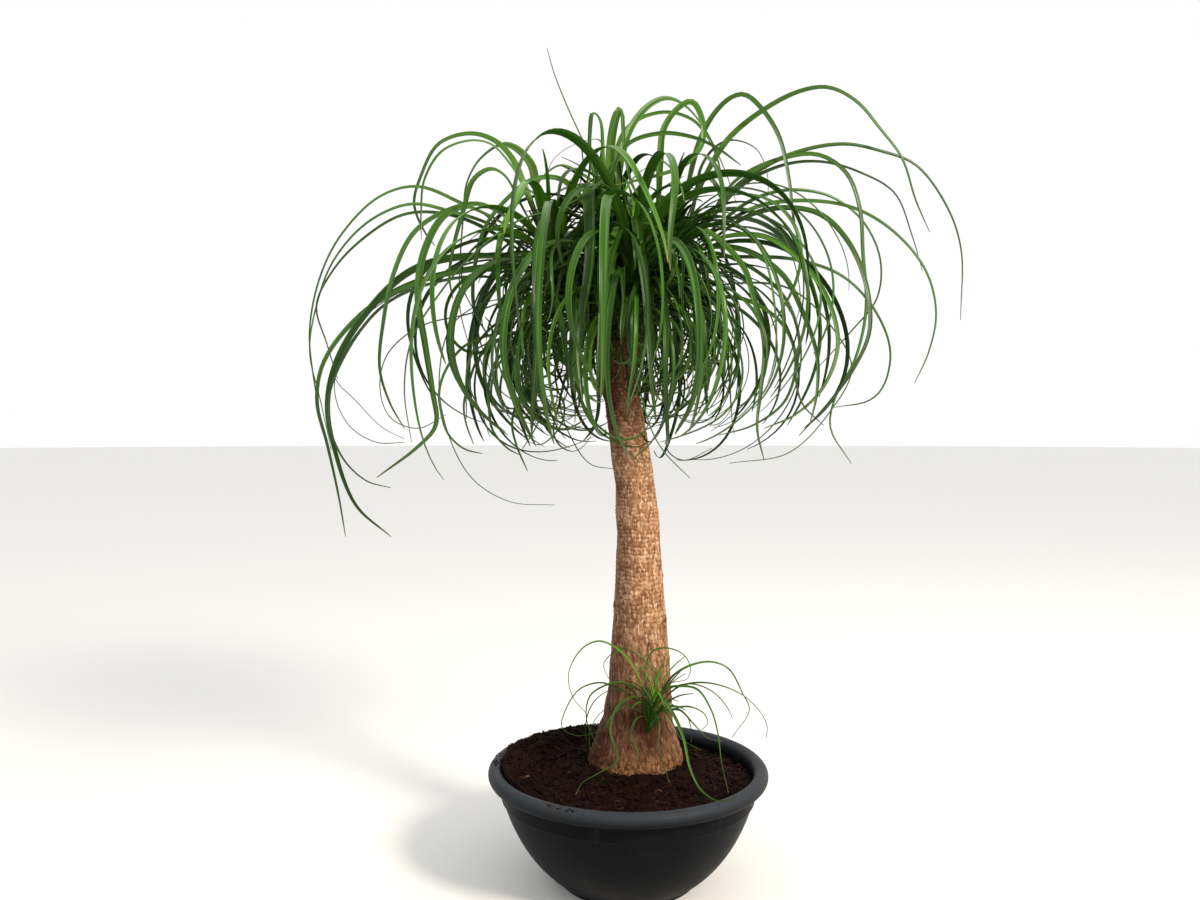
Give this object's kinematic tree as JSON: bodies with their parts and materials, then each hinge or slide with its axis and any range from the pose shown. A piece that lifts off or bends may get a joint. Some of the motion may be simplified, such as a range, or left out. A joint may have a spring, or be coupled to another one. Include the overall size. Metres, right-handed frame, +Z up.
{
  "type": "potted ponytail palm",
  "caption": "Ponytail palm with a corky swollen-foot trunk, fountain heads of long arching strap leaves and a small basal shoot, in a peat-filled bowl pot.",
  "frame": {"origin": "middle of the pot's flat base, on the floor", "axes": "+Z up, +X to the right and +Y to the back as seen from the front"},
  "size_m": [0.9485, 0.6619, 1.1621],
  "materials": {
    "pot_plastic": "satin",
    "peat": "matte",
    "bark": "matte",
    "leaf": "satin",
    "young_leaf": "satin"
  },
  "bodies": {
    "root": {"pot": "pot_plastic", "soil": "peat", "trunk": "bark", "head_left": "leaf", "head_front": "leaf", "head_back": "leaf", "head_right": "leaf", "basal_shoot": "young_leaf"}
  },
  "joints": []
}
